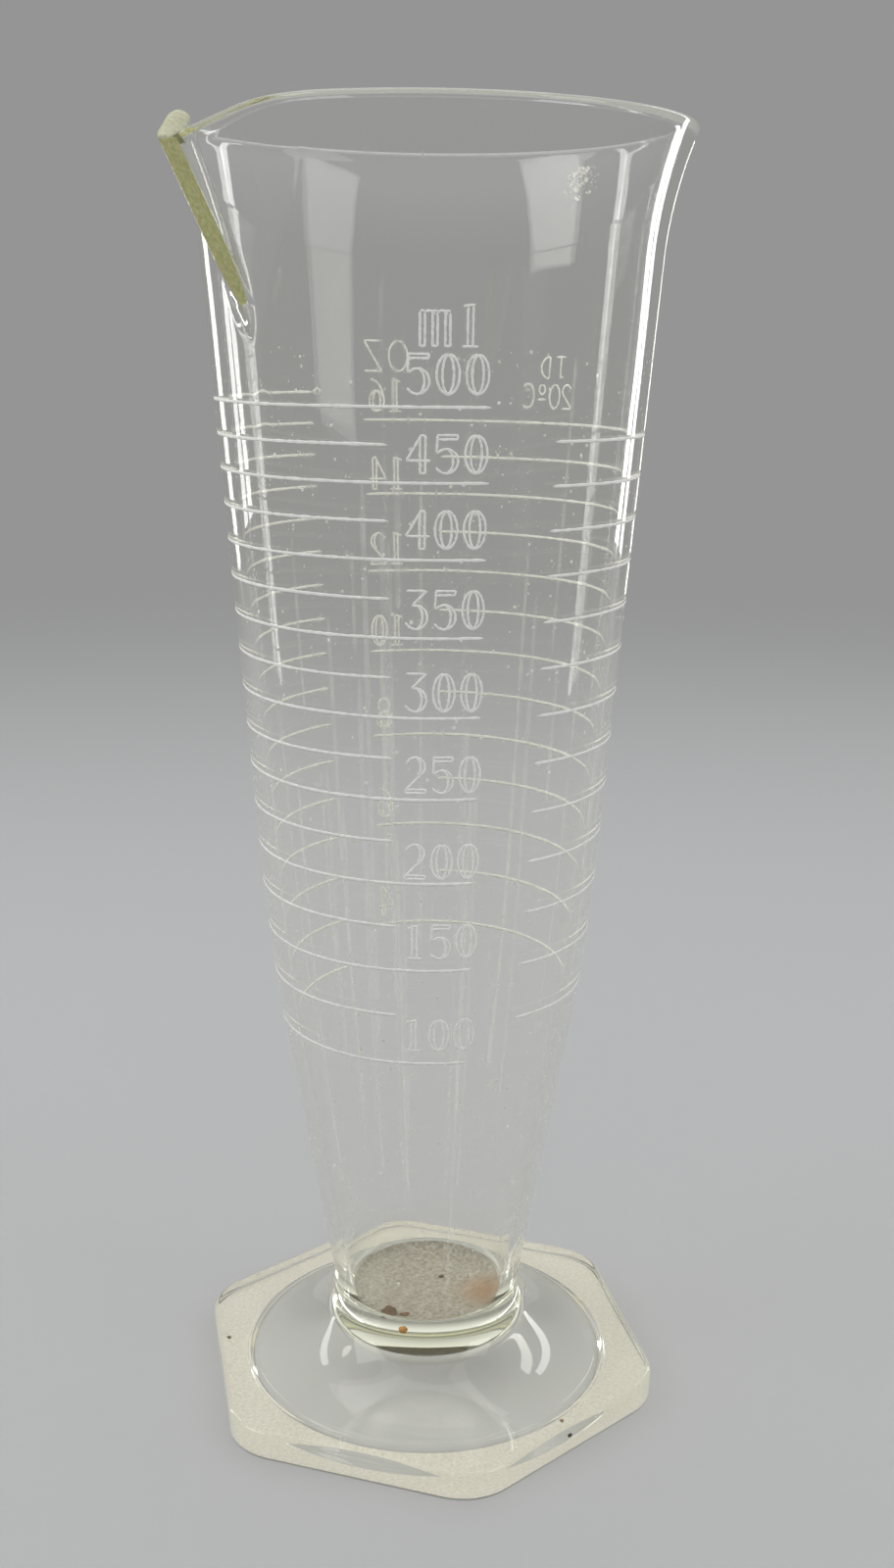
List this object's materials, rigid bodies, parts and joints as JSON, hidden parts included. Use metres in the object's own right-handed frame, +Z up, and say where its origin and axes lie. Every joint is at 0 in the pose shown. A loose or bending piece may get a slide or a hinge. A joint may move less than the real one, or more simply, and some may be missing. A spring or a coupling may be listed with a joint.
{
  "type": "conical graduated glass",
  "caption": "Conical one-piece measuring glass with a flared hexagonal foot, a pouring spout and scales for metric and imperial volumes.",
  "frame": {"origin": "on the axis of the cup, in the plane of the ground ring that the foot rests on", "axes": "+Z up along the axis of the cup; -X towards the spout, which stands above one corner of the hexagonal foot"},
  "size_m": [0.1053, 0.0924, 0.25],
  "materials": {
    "glass": "clear blown glass with a faint yellow-green tint, ground rest ring, spine flat and spout lip"
  },
  "bodies": {
    "root": {"graduate": "glass"}
  },
  "joints": []
}
